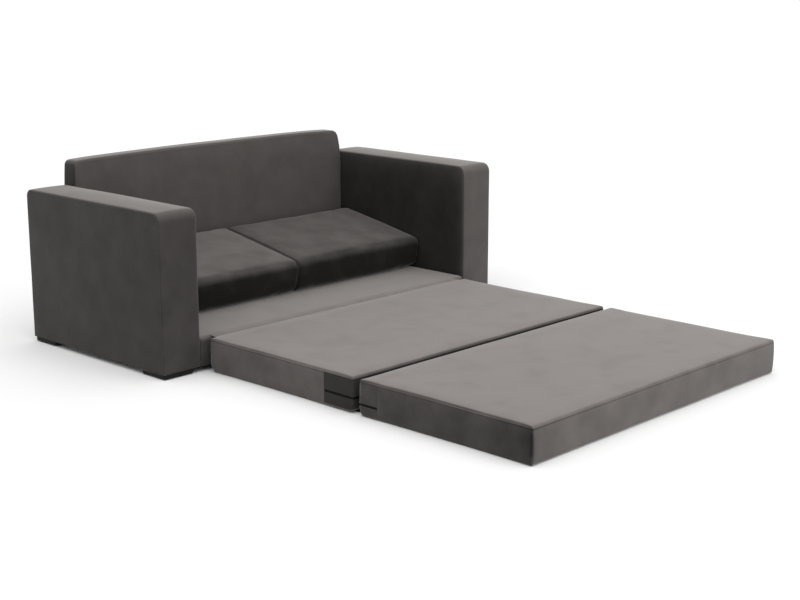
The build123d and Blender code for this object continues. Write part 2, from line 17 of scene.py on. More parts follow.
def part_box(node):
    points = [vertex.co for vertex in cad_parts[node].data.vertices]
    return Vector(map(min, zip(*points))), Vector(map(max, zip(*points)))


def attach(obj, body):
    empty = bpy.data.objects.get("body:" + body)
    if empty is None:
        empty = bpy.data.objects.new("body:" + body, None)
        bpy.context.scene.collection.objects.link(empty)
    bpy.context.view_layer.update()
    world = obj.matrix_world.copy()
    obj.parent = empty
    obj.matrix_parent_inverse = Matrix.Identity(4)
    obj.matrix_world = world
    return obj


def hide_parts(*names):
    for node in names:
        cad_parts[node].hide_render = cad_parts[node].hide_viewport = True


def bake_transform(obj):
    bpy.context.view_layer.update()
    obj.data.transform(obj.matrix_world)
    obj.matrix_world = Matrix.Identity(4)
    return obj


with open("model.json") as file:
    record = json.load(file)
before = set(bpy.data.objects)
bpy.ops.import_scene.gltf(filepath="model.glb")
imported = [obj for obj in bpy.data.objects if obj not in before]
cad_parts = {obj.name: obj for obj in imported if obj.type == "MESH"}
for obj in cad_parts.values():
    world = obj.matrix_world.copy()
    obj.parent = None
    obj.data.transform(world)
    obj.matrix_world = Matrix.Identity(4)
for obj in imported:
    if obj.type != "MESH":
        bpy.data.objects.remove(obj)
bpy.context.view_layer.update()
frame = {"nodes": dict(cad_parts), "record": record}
nodes = frame["nodes"]

# %% [markdown]
# The camera stands low at the left front corner of the bed and looks over it with a
# long lens. It was placed so that the edges of the arms, the backrest and the blocks
# fall where they do in the picture of the real one.

# %% Camera
camera_place = (-4.0165, -3.7910, 1.5025)
camera_pitch = math.radians(90 - 13.23)
camera_heading = math.radians(-46.4)
camera_lens = 66.586

bpy.ops.object.select_all(action="DESELECT")
bpy.ops.object.camera_add(location=camera_place, rotation=(camera_pitch, 0, camera_heading))
camera = bpy.context.object
camera.data.sensor_width = 36
camera.data.lens = camera_lens
bpy.context.scene.camera = camera
print("camera at", camera_place)

# %% [markdown]
# Velvet shows its form through the light, so the light is soft. A wide sun from almost
# straight above stands for the row of lamps over a studio floor: it lights the floor
# evenly to the horizon, so floor and backdrop melt into one white. A box in front lifts
# the front faces, and a white sky fills the rest.

# %% Light
sky_strength = 0.7
sun_strength = 1.5
sun_spread = math.radians(80)
front_power = 30

scene = bpy.context.scene
scene.view_settings.view_transform = "Standard"
world = bpy.data.worlds.new("studio_sky")
world.use_nodes = True
world.node_tree.nodes["Background"].inputs["Color"].default_value = (1, 1, 1, 1)
world.node_tree.nodes["Background"].inputs["Strength"].default_value = sky_strength
scene.world = world


def lamp(kind, name, place, aim, power):
    """A lamp that looks from its place at a point."""
    bpy.ops.object.light_add(type=kind, location=place)
    light = bpy.context.object
    light.name = name
    light.data.energy = power
    direction = Vector(aim) - Vector(place)
    light.rotation_euler = direction.to_track_quat("-Z", "Y").to_euler()
    return light.data


lamp("SUN", "overhead_lamps", (-0.6, -1.2, 4.0), (0, 0, 0), sun_strength).angle = sun_spread
lamp("AREA", "front_box", (0.8, -5.0, 2.4), (0, 0, 0.2), front_power).size = 2.5

# %% [markdown]
# Colours are written as they look on a screen and turned to linear light by one
# function. A second function adds a node to a material with its settings and links,
# so that each material reads as a list of what is in it.

# %% Helpers for materials


def srgb(code):
    """A screen colour, written as hex, in linear light."""
    parts = [int(code[i : i + 2], 16) / 255 for i in (1, 3, 5)]
    linear = [c / 12.92 if c <= 0.04045 else ((c + 0.055) / 1.055) ** 2.4 for c in parts]
    return linear + [1]


def add_node(tree, kind, values=None, links=None, **fields):
    """Add one node, set its fields and its inputs, and link what feeds it."""
    node = tree.nodes.new(kind)
    for name, value in fields.items():
        setattr(node, name, value)
    for name, value in (values or {}).items():
        node.inputs[name].default_value = value
    for name, source in (links or {}).items():
        tree.links.new(source, node.inputs[name])
    return node


def new_material(name, shader_values):
    """A material with its shader set, and the tree, shader and object coordinates."""
    material = bpy.data.materials.new(name)
    material.use_nodes = True
    tree = material.node_tree
    shader = tree.nodes["Principled BSDF"]
    for socket, value in shader_values.items():
        shader.inputs[socket].default_value = value
    place = add_node(tree, "ShaderNodeTexCoord").outputs["Object"]
    return material, tree, shader, place


# %% [markdown]
# The velvet is a woven polyester with a cut pile about 1.5 mm long. All of it is one
# dark warm grey, but the pile lies one way, like brushed hair, and looks light along
# it and nearly black against it. That look, together with the light and shade that fall
# on each face, is painted into the colour. Every velvet piece carries a number at each
# point, from 0 for dark to 1 for light, set mostly by which way the point faces. Tops are
# painted lit, sides and inner faces are painted in shade, and seams are painted as dark
# or light lines. One function makes the materials that mix their two colours by it. The
# fibres' sides also catch light at a low angle: the shader's sheen does that. The pile
# is brushed unevenly, which gives soft clouds a hand's breadth across, and its grain is
# drawn 2 mm wide, coarser than life, to show.

# %% Velvet
# The dark end is the velvet painted in shade, the light end the velvet painted lit.
pile_shaded_colour = "#1b1a19"
pile_lit_colour = "#746f6d"
pile_cloud = 0.11
pile_grain = 0.0018
pile_height = 0.0003
grain_share = 0.16


def velvet(name, sheen, glow, cloud_share):
    """One velvet: the strength and colour of its sheen and how unevenly it is brushed."""
    material, tree, shader, place = new_material(
        name,
        {"Roughness": 0.95, "Sheen Weight": sheen, "Sheen Roughness": 0.34,
         "Sheen Tint": srgb(glow), "Specular IOR Level": 0.12},
    )
    # The painted light and shade, with the pile, is read at each point.
    pile_and_painted_light = add_node(tree, "ShaderNodeAttribute", attribute_name="pile_and_painted_light").outputs["Fac"]

    def noise(size, detail, rough):
        """A noise with features of a size."""
        return add_node(
            tree, "ShaderNodeTexNoise",
            {"Scale": 1 / size, "Detail": detail, "Roughness": rough}, {"Vector": place},
        ).outputs["Fac"]

    def swing(values, share):
        """A noise as a shift of the nap to both sides, within a share of its range."""
        return add_node(
            tree, "ShaderNodeMapRange",
            {"From Min": 0.3, "From Max": 0.7, "To Min": -share / 2, "To Max": share / 2},
            {"Value": values},
        ).outputs[0]

    def combine(first, second, operation, **fields):
        """Two values added or multiplied."""
        return add_node(
            tree, "ShaderNodeMath", {}, {0: first, 1: second}, operation=operation, **fields
        ).outputs[0]

    clouds = noise(pile_cloud, 3, 0.55)
    grain = noise(pile_grain, 2, 0.6)
    uneven = combine(swing(clouds, cloud_share), swing(grain, grain_share), "ADD")
    room = add_node(
        tree, "ShaderNodeMapRange", {"To Min": 0.35, "To Max": 1.0}, {"Value": pile_and_painted_light}
    ).outputs[0]
    total = combine(pile_and_painted_light, combine(uneven, room, "MULTIPLY"), "ADD", use_clamp=True)
    tone = add_node(
        tree, "ShaderNodeMix", {6: srgb(pile_shaded_colour), 7: srgb(pile_lit_colour)}, {0: total},
        data_type="RGBA",
    )
    tree.links.new(tone.outputs[2], shader.inputs["Base Color"])
    bump = add_node(
        tree, "ShaderNodeBump", {"Strength": 0.25, "Distance": pile_height},
        {"Height": grain},
    )
    tree.links.new(bump.outputs[0], shader.inputs["Normal"])
    return material


velvet_block = velvet("velvet_cut_pile_blocks", 1.0, "#e9e5e2", 0.3)
velvet_panel = velvet("velvet_cut_pile_panel", 0.5, "#c9c4c0", 0.15)
velvet_arm = velvet("velvet_cut_pile_frame", 0.8, "#e2ddda", 0.16)
velvet_cushion = velvet("velvet_cut_pile_cushions", 0.45, "#dcd7d4", 0.3)
print("velvets:", [m.name for m in bpy.data.materials if "velvet" in m.name])

# %% [markdown]
# The other finishes, each named for the real material. Woven tape and webbing get fine
# ribs, foam gets pores, pine and ply get grain, and the moulded feet a fine spark
# texture. Most are hidden inside the sofa and are only seen from below or apart.

# %% Other finishes
rib_width = 0.0016
grain_stretch = 14


def ribbed(name, colour, rough, rib, depth):
    """A woven or ribbed fabric whose ribs run across X."""
    material, tree, shader, place = new_material(
        name, {"Base Color": srgb(colour), "Roughness": rough, "Sheen Weight": 0.05}
    )
    wave = add_node(
        tree, "ShaderNodeTexWave", {"Scale": 1 / rib / 3.2, "Distortion": 0.6, "Detail": 1},
        {"Vector": place}, bands_direction="X",
    )
    bump = add_node(
        tree, "ShaderNodeBump", {"Strength": 0.5, "Distance": depth},
        {"Height": wave.outputs["Fac"]},
    )
    tree.links.new(bump.outputs[0], shader.inputs["Normal"])
    return material


def speckled(name, dark, light, rough, size, depth, stretch=(1, 1, 1)):
    """A finish whose colour and relief come from one noise, stretched along a grain."""
    material, tree, shader, place = new_material(name, {"Roughness": rough})
    turned = add_node(tree, "ShaderNodeMapping", {"Scale": stretch}, {"Vector": place})
    noise = add_node(
        tree, "ShaderNodeTexNoise", {"Scale": 1 / size, "Detail": 4, "Roughness": 0.6},
        {"Vector": turned.outputs[0]},
    )
    tone = add_node(
        tree, "ShaderNodeMix", {6: srgb(dark), 7: srgb(light)},
        {0: noise.outputs["Fac"]}, data_type="RGBA",
    )
    tree.links.new(tone.outputs[2], shader.inputs["Base Color"])
    bump = add_node(
        tree, "ShaderNodeBump", {"Strength": 0.4, "Distance": depth},
        {"Height": noise.outputs["Fac"]},
    )
    tree.links.new(bump.outputs[0], shader.inputs["Normal"])
    return material


hinge_fabric = ribbed("woven_polyester_hinge", "#232120", 0.9, rib_width, 0.0003)
zip_tape = ribbed("woven_zip_tape", "#0d0c0c", 0.85, rib_width, 0.0002)
zip_coil = speckled("nylon_zip_coil", "#080808", "#101010", 0.6, 0.002, 0.00005)
slider_enamel = speckled(
    "black_enamelled_zinc", "#0c0c0c", "#161616", 0.3, 0.004, 0.00002
)
foam = speckled("polyurethane_foam", "#d8cba4", "#efe6c8", 0.95, 0.003, 0.0006)
wadding = speckled("polyester_wadding", "#d9d7d1", "#f0eee9", 1.0, 0.012, 0.002)
pine = speckled(
    "sawn_pine", "#b8915c", "#d8b784", 0.75, 0.02, 0.0004, (1, grain_stretch, 1)
)
plywood = speckled(
    "birch_plywood", "#b99566", "#d6b98c", 0.7, 0.02, 0.0002, (1, 1, grain_stretch)
)
hardboard = speckled("pressed_hardboard", "#5c422b", "#74563b", 0.8, 0.004, 0.0002)
dust_cloth = speckled("nonwoven_dust_cloth", "#141414", "#242424", 0.95, 0.004, 0.0004)
foot_plastic = speckled(
    "moulded_black_plastic", "#101010", "#1a1a1a", 0.55, 0.0015, 0.00008
)
glide_plastic = speckled("satin_polyethylene", "#161616", "#222222", 0.4, 0.003, 0.00003)
zinc_steel = speckled("zinc_plated_steel", "#9a9b9d", "#c3c5c8", 0.35, 0.006, 0.00003)
zinc_steel.node_tree.nodes["Principled BSDF"].inputs["Metallic"].default_value = 1
for dull in (foot_plastic, glide_plastic, zip_coil, zip_tape, hinge_fabric):
    inputs = dull.node_tree.nodes["Principled BSDF"].inputs
    inputs["Specular IOR Level"].default_value = 0.15

slot_finish = {
    "velvet": velvet_arm, "velvet_block": velvet_block, "velvet_cushion": velvet_cushion,
    "velvet_panel": velvet_panel, "hinge_fabric": hinge_fabric, "foam": foam,
    "padding": wadding, "timber": pine, "plywood": plywood, "hardboard": hardboard,
    "dust_cover": dust_cloth, "foot": foot_plastic, "glide": glide_plastic,
    "zip_tape": zip_tape, "zip_metal": slider_enamel, "steel": zinc_steel,
}
for part in frame["record"]["subparts"]:
    nodes[part["node"]].data.materials.clear()
    nodes[part["node"]].data.materials.append(slot_finish[part["material_slot"]])

# %% [markdown]
# Every piece below is shaped in edit mode, where an operator works on what is selected.
# These helpers select by place, cut a grid into a piece, read and move its points, and
# close a step.

# %% Helpers for modelling


def add_box(name, low, high):
    """A box primitive between two corners, the start of a piece."""
    low, high = Vector(low), Vector(high)
    bpy.ops.object.select_all(action="DESELECT")
    bpy.ops.mesh.primitive_cube_add(size=1, location=(low + high) / 2, scale=high - low)
    piece = bpy.context.object
    piece.name = name
    piece.data.name = name
    bpy.ops.object.transform_apply(location=True, rotation=True, scale=True)
    return piece


def make_active(piece):
    """Select one piece alone."""
    bpy.ops.object.select_all(action="DESELECT")
    piece.select_set(True)
    bpy.context.view_layer.objects.active = piece


def pick(piece, kind, test):
    """Select the points, edges or faces that pass a test, and stay in edit mode."""
    make_active(piece)
    bpy.ops.object.mode_set(mode="EDIT")
    bpy.ops.mesh.select_mode(type=kind)
    bpy.ops.mesh.select_all(action="DESELECT")
    bpy.ops.object.mode_set(mode="OBJECT")
    mesh = piece.data
    if kind == "FACE":
        for face in mesh.polygons:
            face.select = bool(test(face.center, face.normal))
    elif kind == "EDGE":
        for edge in mesh.edges:
            ends = [mesh.vertices[i].co for i in edge.vertices]
            edge.select = bool(test(*ends))
    else:
        for point in mesh.vertices:
            point.select = bool(test(point.co))
    bpy.ops.object.mode_set(mode="EDIT")


def done():
    """Leave edit mode."""
    bpy.ops.object.mode_set(mode="OBJECT")


def cut(piece, axis, places):
    """Cut a piece all round at places along one axis."""
    make_active(piece)
    bpy.ops.object.mode_set(mode="EDIT")
    for place in places:
        point, normal = [0, 0, 0], [0, 0, 0]
        point[axis] = place
        normal[axis] = 1
        bpy.ops.mesh.select_all(action="SELECT")
        bpy.ops.mesh.bisect(plane_co=point, plane_no=normal)
    done()


def spread(first, last, step):
    """Even places between two limits, about a step apart, without the limits."""
    count = max(2, round((last - first) / step) + 1)
    return list(np.linspace(first, last, count))[1:-1]


def read_points(piece):
    """The points of a piece as rows of three numbers."""
    places = np.empty(len(piece.data.vertices) * 3)
    piece.data.vertices.foreach_get("co", places)
    return places.reshape(-1, 3)


def move_points(piece, places):
    """Put the points of a piece where the rows say."""
    piece.data.vertices.foreach_set("co", places.ravel())
    piece.data.update()


def read_normals(piece):
    """The normal at each point of a piece."""
    normals = np.empty(len(piece.data.vertices) * 3)
    piece.data.vertex_normals.foreach_get("vector", normals)
    return normals.reshape(-1, 3)


def read_weights(piece, name):
    """How much of each point is in a named group."""
    group = piece.vertex_groups[name].index
    weights = np.zeros(len(piece.data.vertices))
    for i, point in enumerate(piece.data.vertices):
        for member in point.groups:
            if member.group == group:
                weights[i] = member.weight
    return weights


def group_points(piece, name, test, weight=1):
    """Add the points that pass a test to a named group."""
    group = piece.vertex_groups.get(name) or piece.vertex_groups.new(name=name)
    group.add([p.index for p in piece.data.vertices if test(p.co)], weight, "REPLACE")


def use_modifier(piece, kind, **fields):
    """Add a modifier, set it and apply it."""
    make_active(piece)
    bpy.ops.object.modifier_add(type=kind)
    modifier = piece.modifiers[-1]
    for name, value in fields.items():
        setattr(modifier, name, value)
    bpy.ops.object.modifier_apply(modifier=modifier.name)


def smooth(piece, angle=40):
    """Smooth shading, except over edges sharper than an angle in degrees."""
    make_active(piece)
    bpy.ops.object.shade_smooth_by_angle(angle=math.radians(angle))


def join(main, other):
    """Join a piece into another, which keeps its name."""
    make_active(main)
    other.select_set(True)
    bpy.ops.object.join()


def finish_piece(piece, body, slot, replaced, *materials):
    """Give a piece its materials, its body and the nodes that it stands for. The slot is
    not used.
    """
    if materials:
        piece.data.materials.clear()
        for material in materials:
            piece.data.materials.append(material)
    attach(piece, body)
    if replaced:
        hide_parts(*replaced)
    print(piece.name, "faces:", len(piece.data.polygons))


# %% [markdown]
# The arms, the backrest and the base are made the same way on the real sofa: a strip of
# velvet is pulled over the wadding, and a flat panel is sewn to it on each side, right
# on the edge. A box primitive is the right start. Its long edges are bevelled first,
# then the outline of each side face, which leaves the same rounded outline as the sewn
# form. Insets on the side faces give the seam three rows of points close together. A
# narrow inset round the foot keeps the cloth square where it turns under the frame, and
# the next one is the hem, stapled below. Cuts all round then give the piece points
# enough to swell.

# %% Upholstered form
seam_row = 0.0013
foot_row = 0.003
hem_width = 0.012
cloth_thickness = 0.002
light_facing_blend = 1.5
near = 1e-5


def upholstered(name, low, high, run, corners, ends, step, open_foot, levels=None):
    """A rounded box whose long edges run along one axis.

    The corners give, for the low and high side, the radius and rows of the foot and of
    the top edge. The ends give the radius and rows of each end's outline.
    """
    low, high = Vector(low), Vector(high)
    across = 1 - run
    limits = (low, high)
    piece = add_box(name, low, high)
    for side in range(2):
        for level in range(2):
            radius, rows = corners[side][level]
            if radius == 0:
                continue
            at, z = limits[side][across], limits[level].z
            pick(
                piece, "EDGE",
                lambda a, b: all(
                    abs(p[across] - at) < near and abs(p.z - z) < near for p in (a, b)
                ),
            )
            bpy.ops.mesh.bevel(offset=radius, segments=rows, affect="EDGES")
            done()
    for side in range(2):
        radius, rows = ends[side]
        at = limits[side][run]
        pick(
            piece, "EDGE",
            lambda a, b: all(abs(p[run] - at) < near for p in (a, b))
            and not (open_foot and max(a.z, b.z) < low.z + near),
        )
        bpy.ops.mesh.bevel(offset=radius, segments=rows, affect="EDGES")
        done()
    piece.vertex_groups.new(name="seam")
    for side in range(2):
        sign = 2 * side - 1
        pick(piece, "FACE", lambda c, n: n[run] * sign > 0.999)
        bpy.ops.mesh.inset(thickness=seam_row)
        bpy.ops.object.vertex_group_assign()
        bpy.ops.mesh.inset(thickness=seam_row)
        bpy.ops.object.vertex_group_remove_from()
        done()
    levels = list(levels or spread(low.z + step, high.z - step, step))
    if open_foot:
        pick(piece, "FACE", lambda c, n: n.z < -0.999)
        bpy.ops.mesh.inset(thickness=foot_row)
        bpy.ops.mesh.inset(thickness=hem_width)
        bpy.ops.mesh.delete(type="FACE")
        done()
        levels.append(low.z + foot_row)
    first, last = (ends[side][0] + 2 * seam_row for side in range(2))
    cut(piece, run, spread(low[run] + first, high[run] - last, step))
    cut(piece, across, spread(low[across] + step, high[across] - step, step))
    cut(piece, 2, levels)
    return piece


def sink_seams(piece, depth):
    """Pull the points of the seams into the padding, or raise them if it is negative."""
    depths = read_weights(piece, "seam") * depth
    move_points(piece, read_points(piece) - read_normals(piece) * depths[:, None])


def ripple(piece, size, strength, seed_place, held=""):
    """Let the surface sink a little here and there, as velvet over wadding does."""
    texture = bpy.data.textures.new(piece.name + "_ripple", "CLOUDS")
    texture.noise_scale = size
    texture.noise_depth = 1
    bpy.ops.object.select_all(action="DESELECT")
    bpy.ops.object.empty_add(location=seed_place)
    marker = bpy.context.object
    use_modifier(
        piece, "DISPLACE", texture=texture, texture_coords="OBJECT",
        texture_coords_object=marker, strength=strength, mid_level=1,
        vertex_group=held, invert_vertex_group=bool(held),
    )
    bpy.data.objects.remove(marker)


def reshape(piece, low, high, rule):
    """Shift the points by a rule of their places, told also as shares from -1 to 1."""
    low, high = np.array(low), np.array(high)
    places = read_points(piece)
    shares = (places - (low + high) / 2) / ((high - low) / 2)
    shifts = [np.broadcast_to(s, len(places)) for s in rule(places.T, shares.T)]
    move_points(piece, places + np.stack(shifts, 1))


def paint_light_and_pile(piece, tones, painted_seam_tone):
    """Paint light and shade, with the pile, into each point by which way it faces, from six
    tones: low and high side of X, Y and Z.
    """
    normals = read_normals(piece)
    shares = np.abs(normals) ** light_facing_blend
    shares /= shares.sum(axis=1)[:, None]
    pile_and_painted_light = np.zeros(len(normals))
    for axis in range(3):
        low_tone, high_tone = tones[axis]
        pile_and_painted_light += shares[:, axis] * np.where(normals[:, axis] < 0, low_tone, high_tone)
    # Seams get their own tone: a painted shade line where it is dark, a painted highlight
    # where it is light.
    pile_and_painted_light += (painted_seam_tone - pile_and_painted_light) * np.clip(read_weights(piece, "seam"), 0, 1)
    attribute = piece.data.attributes.get("pile_and_painted_light")
    attribute = attribute or piece.data.attributes.new("pile_and_painted_light", "FLOAT", "POINT")
    attribute.data.foreach_set("value", pile_and_painted_light)


def add_painted_light(piece, amounts):
    """Paint more light or shade into the points of a piece."""
    attribute = piece.data.attributes["pile_and_painted_light"]
    pile_and_painted_light = np.empty(len(piece.data.vertices))
    attribute.data.foreach_get("value", pile_and_painted_light)
    attribute.data.foreach_set("value", np.clip(pile_and_painted_light + amounts, 0, 1))


def add_core(piece, name, depth):
    """The filling of a piece: its own form, smaller by a depth on every side."""
    core = piece.copy()
    core.data = piece.data.copy()
    core.name = core.data.name = name
    scene.collection.objects.link(core)
    move_points(core, read_points(core) - read_normals(core) * depth)
    smooth(core)
    return core


def close_cloth(piece, thickness=cloth_thickness):
    """Give the cloth its thickness inwards and smooth it."""
    use_modifier(piece, "SOLIDIFY", thickness=thickness, offset=-1)
    smooth(piece, 60)


def above(values, start, width):
    """How far values are past a start, as a share of a width, from 0 to 1."""
    return np.clip((values - start) / width, 0, 1)


# %% [markdown]
# Each arm is a tall box whose top strip rolls down into its front face. The strip's
# corner in front is wider than the one behind. The wadding lifts the middle of the top
# by a few millimetres and fills the outer side, while the inner side is pressed flat by
# the base and the backrest. Light and shade are painted into the velvet by facing: the
# tops are light, and the inner sides are dark as painted shade. The inner side is painted
# lighter along its front and top edges, where the light reaches it.

# %% Arms
grid_step = 0.04
frame_seam_depth = 0.0008
arm_front_edge = (0.038, 8)
arm_rear_edge = (0.030, 7)
arm_outline = (0.008, 3)
square = (0, 0)
arm_crown = 0.006
arm_swell = 0.004
crown_reach = 0.06
# Painted light and shade by facing: the tops painted light, the outer sides and fronts
# darker, and the inner sides darkest, as painted shade between the arms.
arm_tones = {"left": ((0.145, 0.03), (0.225, 0.25), (0.1, 0.62)),
             "right": ((0.045, 0.145), (0.49, 0.25), (0.1, 0.72))}
inner_edge_light_front = 0.42
inner_edge_light_top = 0.2
inner_edge_light_reach = (0.016, 0.05)

for name, side in (("left", -1), ("right", 1)):
    low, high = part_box(name + "_arm_cover")
    arm = upholstered(
        name + "_arm_upholstery", low, high, 0,
        ((square, arm_front_edge), (square, arm_rear_edge)), (arm_outline, arm_outline),
        grid_step, True,
    )

    def arm_rule(places, shares):
        """Crown the top and fill the outer side."""
        u, v, w = shares
        lift = arm_crown * above(places[2], high.z - crown_reach, crown_reach)
        fill = arm_swell * above(side * u, 0.9, 0.1) * (1 - v**2) * (1 - w**2)
        return side * fill, 0, lift * (1 - u**2) * (1 - v**4)

    reshape(arm, low, high, arm_rule)
    ripple(arm, 0.22, 0.003, (side, 2, 0))
    sink_seams(arm, frame_seam_depth)
    use_modifier(arm, "SUBSURF", levels=1, render_levels=1)
    paint_light_and_pile(arm, arm_tones[name], 0.15)
    points, normals = read_points(arm), read_normals(arm)
    inner = np.clip(-side * normals[:, 0], 0, 1)
    # Painted light on the inner side, strongest at its front and top edges and fading
    # inwards.
    inner_edge_light = inner_edge_light_front * np.exp(-(points[:, 1] - low.y) / inner_edge_light_reach[0])
    inner_edge_light += inner_edge_light_top * np.exp(-(high.z - points[:, 2]) / inner_edge_light_reach[1])
    add_painted_light(arm, inner_edge_light * inner)
    close_cloth(arm)
    finish_piece(arm, "sofa", "velvet", [name + "_arm_cover"], velvet_arm)

# %% [markdown]
# The backrest stands between the arms. Here the strip runs over the top from side to
# side and the two large panels, front and rear, are sewn to it, so its rounded outline
# is seen from the front and the box is run along Y. Below the arms' tops it is pressed
# flat between them. Above them its ends are free and lean in a little, and the front of
# the top edge is the softest place, where hands pull on it. The wadding under it has
# the same form, so it is a copy of the cover, drawn in by the cover's thickness.

# %% Backrest
pressed = 0.0006
backrest_ends = ((0.024, 6), (0.030, 7))
backrest_outlines = ((0.012, 4), (0.010, 3))
# Painted light and shade by facing: the top painted lightest, the front lighter than the
# dark ends.
backrest_tones = ((0.1, 0.1), (0.45, 0.25), (0.1, 0.6))
end_lean = {-1: 0.008, 1: 0.018}
end_fall = 0.009
soft_top = 0.012
soft_reach = 0.075
front_slack = 0.003
wadding_depth = 0.003

low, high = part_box("back_cover")
low.x -= pressed
high.x += pressed
arm_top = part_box("left_arm_cover")[1].z
backrest = upholstered(
    "backrest_upholstery", low, high, 1,
    ((square, backrest_ends[0]), (square, backrest_ends[1])), backrest_outlines,
    grid_step, True,
)


def backrest_rule(places, shares):
    """Lean the free ends in, let the corners fall and soften the front of the top."""
    u, v, w = shares
    free = above(places[2], arm_top, high.z - arm_top)
    lean = np.where(u < 0, end_lean[-1], end_lean[1]) * free * np.abs(u) ** 12
    softness = above(places[2], high.z - soft_reach, soft_reach)
    back_off = soft_top * softness**2 * above(-v, -1, 2) + front_slack * above(-v, 0.8, 0.2)
    return -np.sign(u) * lean, back_off, -end_fall * softness * np.abs(u) ** 4


reshape(backrest, low, high, backrest_rule)
ripple(backrest, 0.25, 0.003, (3, 1, 0))
backrest_wadding = add_core(backrest, "backrest_wadding", wadding_depth)
finish_piece(backrest_wadding, "sofa", "padding", ["back_padding"], wadding)
sink_seams(backrest, frame_seam_depth)
use_modifier(backrest, "SUBSURF", levels=1, render_levels=1)
paint_light_and_pile(backrest, backrest_tones, 0.4)
close_cloth(backrest)
finish_piece(backrest, "sofa", "velvet", ["back_cover"], velvet_arm)

# %% [markdown]
# The base is the shallow box between the arms. Its top is level with the blocks, so the
# open bed is flat from the backrest to the foot.

# %% Base
base_front_edge = (0.020, 6)
base_rear_edge = (0.012, 4)
base_outline = (0.008, 3)
# Painted light and shade by facing: the top painted fully lit, the sides and front darker.
base_tones = ((0.3, 0.3), (0.25, 0.3), (0.15, 1.0))

low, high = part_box("base_cover")
low.x -= pressed
high.x += pressed
base = upholstered(
    "base_upholstery", low, high, 0,
    ((square, base_front_edge), (square, base_rear_edge)), (base_outline, base_outline),
    grid_step, True,
)
ripple(base, 0.25, 0.002, (0, 5, 0))
sink_seams(base, frame_seam_depth)
use_modifier(base, "SUBSURF", levels=1, render_levels=1)
paint_light_and_pile(base, base_tones, 0.6)
close_cloth(base)
finish_piece(base, "sofa", "velvet_block", ["base_cover"], velvet_block)

# %% [markdown]
# Under the arms, the backrest and the base, a thin black cloth is stapled over the open
# frame to keep the dust out, over the hem of the velvet and up to its edge. It is cut
# flat and stapled tight, but sags a little where nothing holds it, between the feet and
# in the middle of the base.

# %% Dust covers
dust_thickness = 0.0006
dust_sag = 0.003
dust_margin = 0.0025
dust_covers = {
    "left_arm": "left_arm_frame", "right_arm": "right_arm_frame",
    "back": "back_frame", "base": "base_deck",
}
foot_inner_y = [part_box("front_left_foot")[1].y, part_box("rear_left_foot")[0].y]

for name, frame_node in dust_covers.items():
    low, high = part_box(name + "_cover")
    low += Vector((dust_margin, dust_margin, 0))
    high -= Vector((dust_margin, dust_margin, 0))
    high.z = low.z + dust_thickness / 2
    low.z -= dust_thickness / 2
    dust_cover = add_box(name + "_dust_sheet", low, high)
    cut(dust_cover, 0, spread(low.x, high.x, grid_step))
    cut(dust_cover, 1, spread(low.y, high.y, grid_step))

    def dust_rule(places, shares):
        """Sag between the feet."""
        u, v, w = shares
        if "arm" in name:
            v = 2 * above(places[1], foot_inner_y[0], foot_inner_y[1] - foot_inner_y[0]) - 1
        return 0, 0, -dust_sag * (1 - u**2) * (1 - v**2)

    reshape(dust_cover, low, high, dust_rule)
    smooth(dust_cover)
    finish_piece(dust_cover, "sofa", "dust_cover", [name + "_dust_cover"], dust_cloth)

# %% [markdown]
# The blocks and the cushions are cloth over foam. Cloth pulled over foam swells between
# its seams and is held down at them, so each gets a real cloth simulation: the seams
# are pinned, the cover is blown up a little from inside, and the result is kept. How
# far a point may go is limited on each side of the piece, so that a side with a
# neighbour stays clear of it. The foam fills the cover, so it is a copy of its form,
# drawn in below the slots of the zips.

# %% Cloth over foam
pressure = 4.0
last_frame = 20
foam_depth = 0.0062


def hold_seams(piece):
    """Start the group of points that a simulation must not move, with the seams."""
    held = np.flatnonzero(read_weights(piece, "seam") > 0)
    piece.vertex_groups.new(name="held").add([int(i) for i in held], 1, "REPLACE")


def pad_form(piece, low, high, crown, belly, fall, bulge, draw_in):
    """Crown a box, let its edges fall, bow out its ends and draw in its sides."""

    def rule(places, shares):
        """The top falls to its edges, the ends bow out and the sides pull in."""
        u, v, w = np.clip(shares, -1, 1)
        upper, lower = np.clip(w, 0, 1), np.clip(-w, 0, 1)
        end = above(np.abs(v), 0.9, 0.1) * np.sign(v)
        side = above(np.abs(u), 0.9, 0.1) * np.sign(u)
        low_fall = fall if belly > 0 else 0
        dz = lower * (belly * v**2 + low_fall * u**2) - upper * (crown * v**2 + fall * u**2)
        return -side * draw_in * (1 - v**2), -end * bulge * w**2, dz

    reshape(piece, low, high, rule)


def blow_up(piece, room, stiffness, slack):
    """Swell a closed cover from inside, with its seams held, and keep the result.

    The room is how far a point may go to the low and high side of X, Y and Z.
    """
    before = read_points(piece)
    make_active(piece)
    bpy.ops.object.modifier_add(type="CLOTH")
    cloth = piece.modifiers[-1]
    cloth.settings.quality = 5
    cloth.settings.tension_stiffness = stiffness
    cloth.settings.compression_stiffness = stiffness
    cloth.settings.shrink_min = -slack
    cloth.settings.vertex_group_mass = "held"
    cloth.settings.use_pressure = True
    cloth.settings.uniform_pressure_force = pressure
    cloth.settings.effector_weights.gravity = 0
    for number in range(1, last_frame + 1):
        scene.frame_set(number)
    bpy.ops.object.modifier_apply(modifier=cloth.name)
    scene.frame_set(1)
    shift = read_points(piece) - before
    for axis in range(3):
        down, up = room[axis]
        shift[:, axis] = np.where(
            shift[:, axis] < 0,
            down * np.tanh(shift[:, axis] / down),
            up * np.tanh(shift[:, axis] / up),
        )
    move_points(piece, before + shift)
    print(piece.name, "swelled by", np.round(np.abs(shift).max(axis=0) * 1000, 1), "mm")


